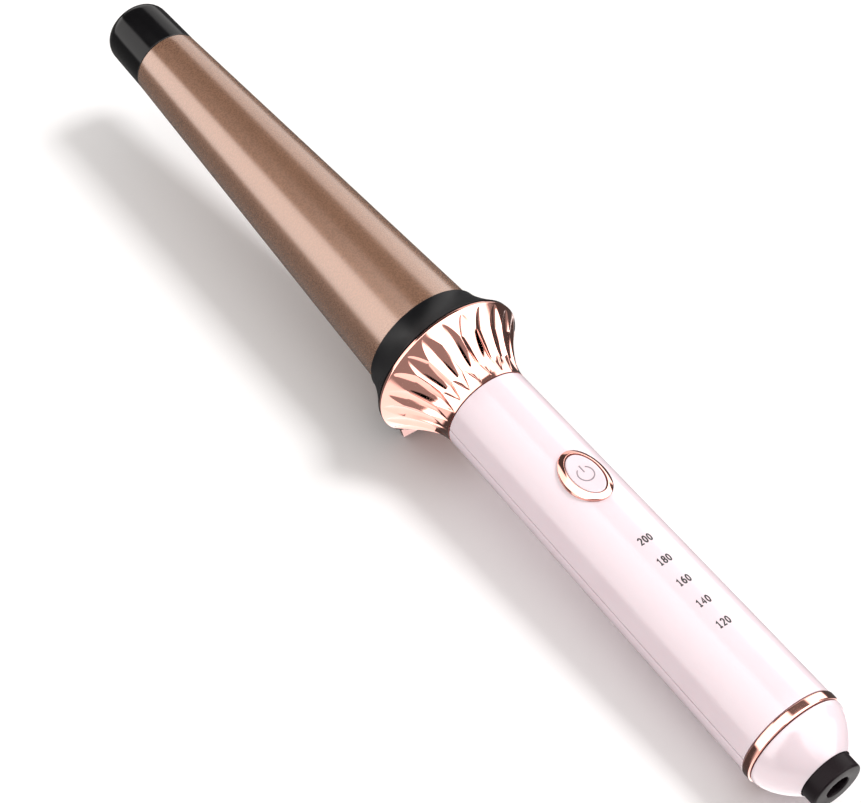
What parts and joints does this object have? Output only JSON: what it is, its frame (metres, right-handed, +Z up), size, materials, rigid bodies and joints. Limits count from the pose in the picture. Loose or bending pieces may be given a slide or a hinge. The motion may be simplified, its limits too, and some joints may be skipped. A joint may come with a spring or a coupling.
{
  "type": "curling wand",
  "caption": "Tapered ceramic-coated curling wand with a black tip and heat collar, a fluted flared crown, a slim round handle with an oval power button, and a cord swivel at the tail.",
  "frame": {"origin": "centre of the bounding box on the surface that the wand lies on", "axes": "+X towards the cord end, along the ground under the wand; +Z up, on the button side; the wand itself is tipped up 3.65 degrees about Y, so the tip is raised"},
  "size_m": [0.3472, 0.0502, 0.0511],
  "materials": {
    "black_pps": "satin",
    "pink_abs": "gloss",
    "rose_gold_plate": "polished",
    "rose_gold_steel": "satin",
    "ceramic_coat": "satin",
    "cast_aluminium": "matte",
    "steel": "satin",
    "brass": "satin",
    "heater_wrap": "gloss",
    "grey_pps": "matte",
    "board_laminate": "satin",
    "chip_epoxy": "matte",
    "capacitor_can": "satin",
    "capacitor_box": "satin",
    "clear_acrylic": "gloss",
    "red_lead": "satin",
    "blue_lead": "satin",
    "white_lead": "satin",
    "white_ceramic": "satin"
  },
  "bodies": {
    "root": {"tip_cap": "black_pps", "barrel": "ceramic_coat", "barrel_plug": "grey_pps", "barrel_screw_1": "steel", "barrel_screw_2": "steel", "barrel_screw_3": "steel", "heat_spreader_upper": "cast_aluminium", "heat_spreader_lower": "cast_aluminium", "ptc_heater": "heater_wrap", "leaf_spring": "steel", "thermal_fuse": "white_ceramic", "thermistor": "white_ceramic", "barrel_collar": "black_pps", "collar_screw_1": "steel", "collar_screw_2": "steel", "collar_screw_3": "steel", "crown": "rose_gold_plate", "rest_plate": "rose_gold_steel", "handle_shell_upper": "pink_abs", "handle_shell_lower": "pink_abs", "handle_screw_front": "steel", "handle_screw_rear": "steel", "button_trim_ring": "rose_gold_plate", "control_board": "board_laminate", "board_screw_front": "steel", "board_screw_rear": "steel", "tact_switch": "chip_epoxy", "mcu_chip": "chip_epoxy", "led_1": "clear_acrylic", "led_2": "clear_acrylic", "led_3": "clear_acrylic", "led_4": "clear_acrylic", "led_5": "clear_acrylic", "terminal_block": "grey_pps", "triac": "chip_epoxy", "electrolytic_capacitor": "capacitor_can", "film_capacitor": "capacitor_box", "light_guide": "clear_acrylic", "heater_lead_live": "red_lead", "heater_lead_neutral": "blue_lead", "thermistor_lead": "white_lead", "fuse_lead": "white_lead", "supply_lead_live": "red_lead", "supply_lead_neutral": "blue_lead", "tail_trim_ring": "rose_gold_plate", "end_cap": "pink_abs", "swivel_retainer": "steel", "contact_holder": "grey_pps", "brush_live": "brass", "brush_neutral": "brass"},
    "power_button": {"power_button": "pink_abs", "tact_plunger": "chip_epoxy"},
    "cord_swivel": {"swivel_body": "black_pps", "slip_ring_live": "brass", "slip_ring_neutral": "brass"}
  },
  "joints": [
    {"name": "button_press", "type": "slide", "parent": "root", "child": "power_button", "axis": [-0.0637, 0, -0.998], "range_m": [0, 0.0007], "stiffness_N_per_m": 1500, "springref_m": -0.0007},
    {"name": "swivel_turn", "type": "hinge", "parent": "root", "child": "cord_swivel", "pos_m": [0.16556, 0, 0.01552], "axis": [0.998, 0, -0.0637], "continuous": true}
  ]
}
